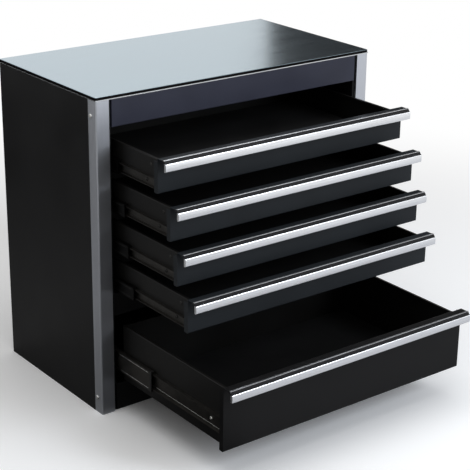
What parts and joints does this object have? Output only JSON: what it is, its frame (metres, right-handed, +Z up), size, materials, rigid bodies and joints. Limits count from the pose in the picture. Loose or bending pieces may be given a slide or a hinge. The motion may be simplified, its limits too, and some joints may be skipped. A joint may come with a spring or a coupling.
{
  "type": "tool chest",
  "caption": "Steel tool chest whose shallow drawers and one deep drawer run on telescopic ball-bearing slides, with full-width aluminium pulls and corner posts.",
  "frame": {"origin": "centre of the cabinet's underside", "axes": "+Z up, +Y towards the back, +X to the right seen from the front; the drawers open towards -Y"},
  "size_m": [0.704, 0.7714, 0.68],
  "materials": {
    "cabinet_paint": "satin black",
    "front_paint": "satin graphite",
    "drawer_paint": "satin black",
    "top_sheet": "polished, with a black rim",
    "trim": "bright",
    "post_aluminium": "satin anodised",
    "pull_aluminium": "brushed",
    "slide_steel": "dark zinc plate",
    "retainer_steel": "bright zinc plate",
    "screw_steel": "zinc plate",
    "liner": "matt, finely textured"
  },
  "bodies": {
    "cabinet": {"corner_post_left": "post_aluminium", "corner_post_right": "post_aluminium", "side_panel_left": "cabinet_paint", "side_panel_right": "cabinet_paint", "back_panel": "cabinet_paint", "base_panel": "cabinet_paint", "top_panel": "top_sheet", "top_trim": "trim", "header_panel": "front_paint", "middle_rail": "cabinet_paint", "plinth_rail": "cabinet_paint", "front_upright_left": "cabinet_paint", "front_upright_right": "cabinet_paint", "rear_uprights": "cabinet_paint", "post_screws": "screw_steel", "drawer_1_slide_outer": "slide_steel", "drawer_2_slide_outer": "slide_steel", "drawer_3_slide_outer": "slide_steel", "drawer_4_slide_outer": "slide_steel", "drawer_5_slide_outer": "slide_steel"},
    "drawer_1": {"drawer_1_front": "front_paint", "drawer_1_pull": "pull_aluminium", "drawer_1_box": "drawer_paint", "drawer_1_liner": "liner", "drawer_1_slide_inner": "slide_steel"},
    "drawer_1_slide": {"drawer_1_slide_middle": "slide_steel"},
    "drawer_1_outer_retainer": {"drawer_1_retainer_outer": "retainer_steel"},
    "drawer_1_inner_retainer": {"drawer_1_retainer_inner": "retainer_steel"},
    "drawer_2": {"drawer_2_front": "front_paint", "drawer_2_pull": "pull_aluminium", "drawer_2_box": "drawer_paint", "drawer_2_liner": "liner", "drawer_2_slide_inner": "slide_steel"},
    "drawer_2_slide": {"drawer_2_slide_middle": "slide_steel"},
    "drawer_2_outer_retainer": {"drawer_2_retainer_outer": "retainer_steel"},
    "drawer_2_inner_retainer": {"drawer_2_retainer_inner": "retainer_steel"},
    "drawer_3": {"drawer_3_front": "front_paint", "drawer_3_pull": "pull_aluminium", "drawer_3_box": "drawer_paint", "drawer_3_liner": "liner", "drawer_3_slide_inner": "slide_steel"},
    "drawer_3_slide": {"drawer_3_slide_middle": "slide_steel"},
    "drawer_3_outer_retainer": {"drawer_3_retainer_outer": "retainer_steel"},
    "drawer_3_inner_retainer": {"drawer_3_retainer_inner": "retainer_steel"},
    "drawer_4": {"drawer_4_front": "front_paint", "drawer_4_pull": "pull_aluminium", "drawer_4_box": "drawer_paint", "drawer_4_liner": "liner", "drawer_4_slide_inner": "slide_steel"},
    "drawer_4_slide": {"drawer_4_slide_middle": "slide_steel"},
    "drawer_4_outer_retainer": {"drawer_4_retainer_outer": "retainer_steel"},
    "drawer_4_inner_retainer": {"drawer_4_retainer_inner": "retainer_steel"},
    "drawer_5": {"drawer_5_front": "front_paint", "drawer_5_pull": "pull_aluminium", "drawer_5_box": "drawer_paint", "drawer_5_liner": "liner", "drawer_5_slide_inner": "slide_steel"},
    "drawer_5_slide": {"drawer_5_slide_middle": "slide_steel"},
    "drawer_5_outer_retainer": {"drawer_5_retainer_outer": "retainer_steel"},
    "drawer_5_inner_retainer": {"drawer_5_retainer_inner": "retainer_steel"}
  },
  "joints": [
    {"name": "drawer_1_slide_out", "type": "slide", "parent": "cabinet", "child": "drawer_1", "axis": [0, -1, 0], "range_m": [-0.154, 0.216]},
    {"name": "drawer_1_middle_member", "type": "slide", "parent": "cabinet", "child": "drawer_1_slide", "axis": [0, -1, 0], "range_m": [-0.077, 0.108]},
    {"name": "drawer_1_outer_retainer_roll", "type": "slide", "parent": "cabinet", "child": "drawer_1_outer_retainer", "axis": [0, -1, 0], "range_m": [-0.0385, 0.054]},
    {"name": "drawer_1_inner_retainer_roll", "type": "slide", "parent": "cabinet", "child": "drawer_1_inner_retainer", "axis": [0, -1, 0], "range_m": [-0.1155, 0.162]},
    {"name": "drawer_2_slide_out", "type": "slide", "parent": "cabinet", "child": "drawer_2", "axis": [0, -1, 0], "range_m": [-0.195, 0.175]},
    {"name": "drawer_2_middle_member", "type": "slide", "parent": "cabinet", "child": "drawer_2_slide", "axis": [0, -1, 0], "range_m": [-0.0975, 0.0875]},
    {"name": "drawer_2_outer_retainer_roll", "type": "slide", "parent": "cabinet", "child": "drawer_2_outer_retainer", "axis": [0, -1, 0], "range_m": [-0.04875, 0.04375]},
    {"name": "drawer_2_inner_retainer_roll", "type": "slide", "parent": "cabinet", "child": "drawer_2_inner_retainer", "axis": [0, -1, 0], "range_m": [-0.14625, 0.13125]},
    {"name": "drawer_3_slide_out", "type": "slide", "parent": "cabinet", "child": "drawer_3", "axis": [0, -1, 0], "range_m": [-0.217, 0.153]},
    {"name": "drawer_3_middle_member", "type": "slide", "parent": "cabinet", "child": "drawer_3_slide", "axis": [0, -1, 0], "range_m": [-0.1085, 0.0765]},
    {"name": "drawer_3_outer_retainer_roll", "type": "slide", "parent": "cabinet", "child": "drawer_3_outer_retainer", "axis": [0, -1, 0], "range_m": [-0.05425, 0.03825]},
    {"name": "drawer_3_inner_retainer_roll", "type": "slide", "parent": "cabinet", "child": "drawer_3_inner_retainer", "axis": [0, -1, 0], "range_m": [-0.16275, 0.11475]},
    {"name": "drawer_4_slide_out", "type": "slide", "parent": "cabinet", "child": "drawer_4", "axis": [0, -1, 0], "range_m": [-0.251, 0.119]},
    {"name": "drawer_4_middle_member", "type": "slide", "parent": "cabinet", "child": "drawer_4_slide", "axis": [0, -1, 0], "range_m": [-0.1255, 0.0595]},
    {"name": "drawer_4_outer_retainer_roll", "type": "slide", "parent": "cabinet", "child": "drawer_4_outer_retainer", "axis": [0, -1, 0], "range_m": [-0.06275, 0.02975]},
    {"name": "drawer_4_inner_retainer_roll", "type": "slide", "parent": "cabinet", "child": "drawer_4_inner_retainer", "axis": [0, -1, 0], "range_m": [-0.18825, 0.08925]},
    {"name": "drawer_5_slide_out", "type": "slide", "parent": "cabinet", "child": "drawer_5", "axis": [0, -1, 0], "range_m": [-0.365, 0.005]},
    {"name": "drawer_5_middle_member", "type": "slide", "parent": "cabinet", "child": "drawer_5_slide", "axis": [0, -1, 0], "range_m": [-0.1825, 0.0025]},
    {"name": "drawer_5_outer_retainer_roll", "type": "slide", "parent": "cabinet", "child": "drawer_5_outer_retainer", "axis": [0, -1, 0], "range_m": [-0.09125, 0.00125]},
    {"name": "drawer_5_inner_retainer_roll", "type": "slide", "parent": "cabinet", "child": "drawer_5_inner_retainer", "axis": [0, -1, 0], "range_m": [-0.27375, 0.00375]}
  ],
  "couplings": [
    {"joint": "drawer_1_middle_member", "follows": "drawer_1_slide_out", "ratio": 0.5},
    {"joint": "drawer_1_outer_retainer_roll", "follows": "drawer_1_slide_out", "ratio": 0.25},
    {"joint": "drawer_1_inner_retainer_roll", "follows": "drawer_1_slide_out", "ratio": 0.75},
    {"joint": "drawer_2_middle_member", "follows": "drawer_2_slide_out", "ratio": 0.5},
    {"joint": "drawer_2_outer_retainer_roll", "follows": "drawer_2_slide_out", "ratio": 0.25},
    {"joint": "drawer_2_inner_retainer_roll", "follows": "drawer_2_slide_out", "ratio": 0.75},
    {"joint": "drawer_3_middle_member", "follows": "drawer_3_slide_out", "ratio": 0.5},
    {"joint": "drawer_3_outer_retainer_roll", "follows": "drawer_3_slide_out", "ratio": 0.25},
    {"joint": "drawer_3_inner_retainer_roll", "follows": "drawer_3_slide_out", "ratio": 0.75},
    {"joint": "drawer_4_middle_member", "follows": "drawer_4_slide_out", "ratio": 0.5},
    {"joint": "drawer_4_outer_retainer_roll", "follows": "drawer_4_slide_out", "ratio": 0.25},
    {"joint": "drawer_4_inner_retainer_roll", "follows": "drawer_4_slide_out", "ratio": 0.75},
    {"joint": "drawer_5_middle_member", "follows": "drawer_5_slide_out", "ratio": 0.5},
    {"joint": "drawer_5_outer_retainer_roll", "follows": "drawer_5_slide_out", "ratio": 0.25},
    {"joint": "drawer_5_inner_retainer_roll", "follows": "drawer_5_slide_out", "ratio": 0.75}
  ]
}
